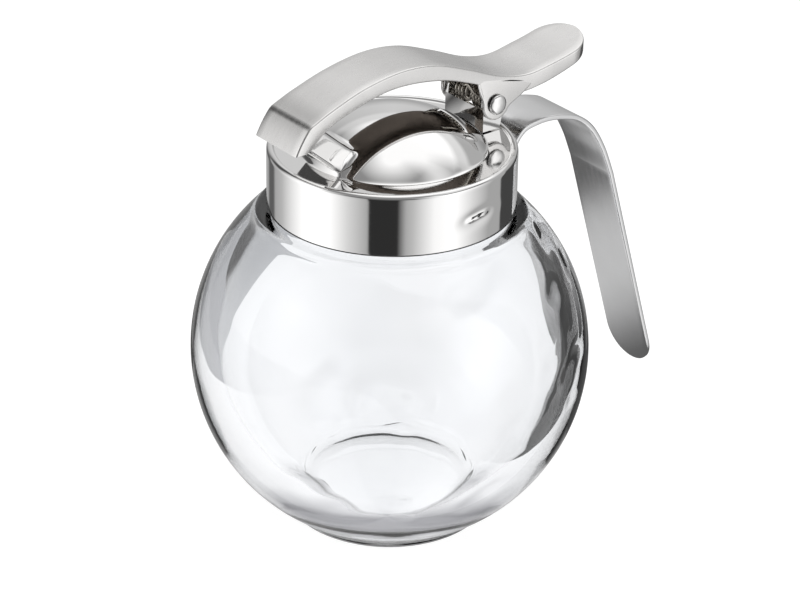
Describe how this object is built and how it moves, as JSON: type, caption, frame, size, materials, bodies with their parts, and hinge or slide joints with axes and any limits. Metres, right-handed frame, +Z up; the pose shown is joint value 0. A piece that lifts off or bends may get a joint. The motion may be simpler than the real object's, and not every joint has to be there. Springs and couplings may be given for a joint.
{
  "type": "honey dispenser",
  "caption": "Round clear glass honey or syrup dispenser on a foot ring, with a domed steel screw lid, a short pouring stub closed by a sprung thumb lever, and a strap handle",
  "frame": {"origin": "centre of the bounding box's bottom face, on the table the dispenser stands on; the globe's axis is at x = -16.0 mm", "axes": "+Z up; -X towards the pouring spout, +X towards the handle and thumb rest; Y across the symmetry plane"},
  "size_m": [0.1269, 0.095, 0.1166],
  "materials": {
    "clear_glass": "clear, smooth, slightly wavy blown glass",
    "polished_steel": "mirror-polished stainless steel",
    "satin_steel": "semi-bright stainless steel sheet",
    "cast_metal": "plated cast metal with a soft satin polish",
    "spring_steel": "drawn spring wire"
  },
  "bodies": {
    "jar": {"glass_jar": "clear_glass", "lid": "polished_steel", "bracket": "satin_steel", "handle": "satin_steel", "pin": "polished_steel", "spring": "spring_steel"},
    "lever": {"lever": "cast_metal", "spring_leg_left": "spring_steel", "spring_leg_right": "spring_steel"}
  },
  "joints": [
    {"name": "lever_hinge", "type": "hinge", "parent": "jar", "child": "lever", "pos_m": [0.0084, 0, 0.1016], "axis": [0, 1, 0], "range_deg": [0, 24], "stiffness_Nm_per_rad": 0.12, "springref_deg": -28.65}
  ]
}
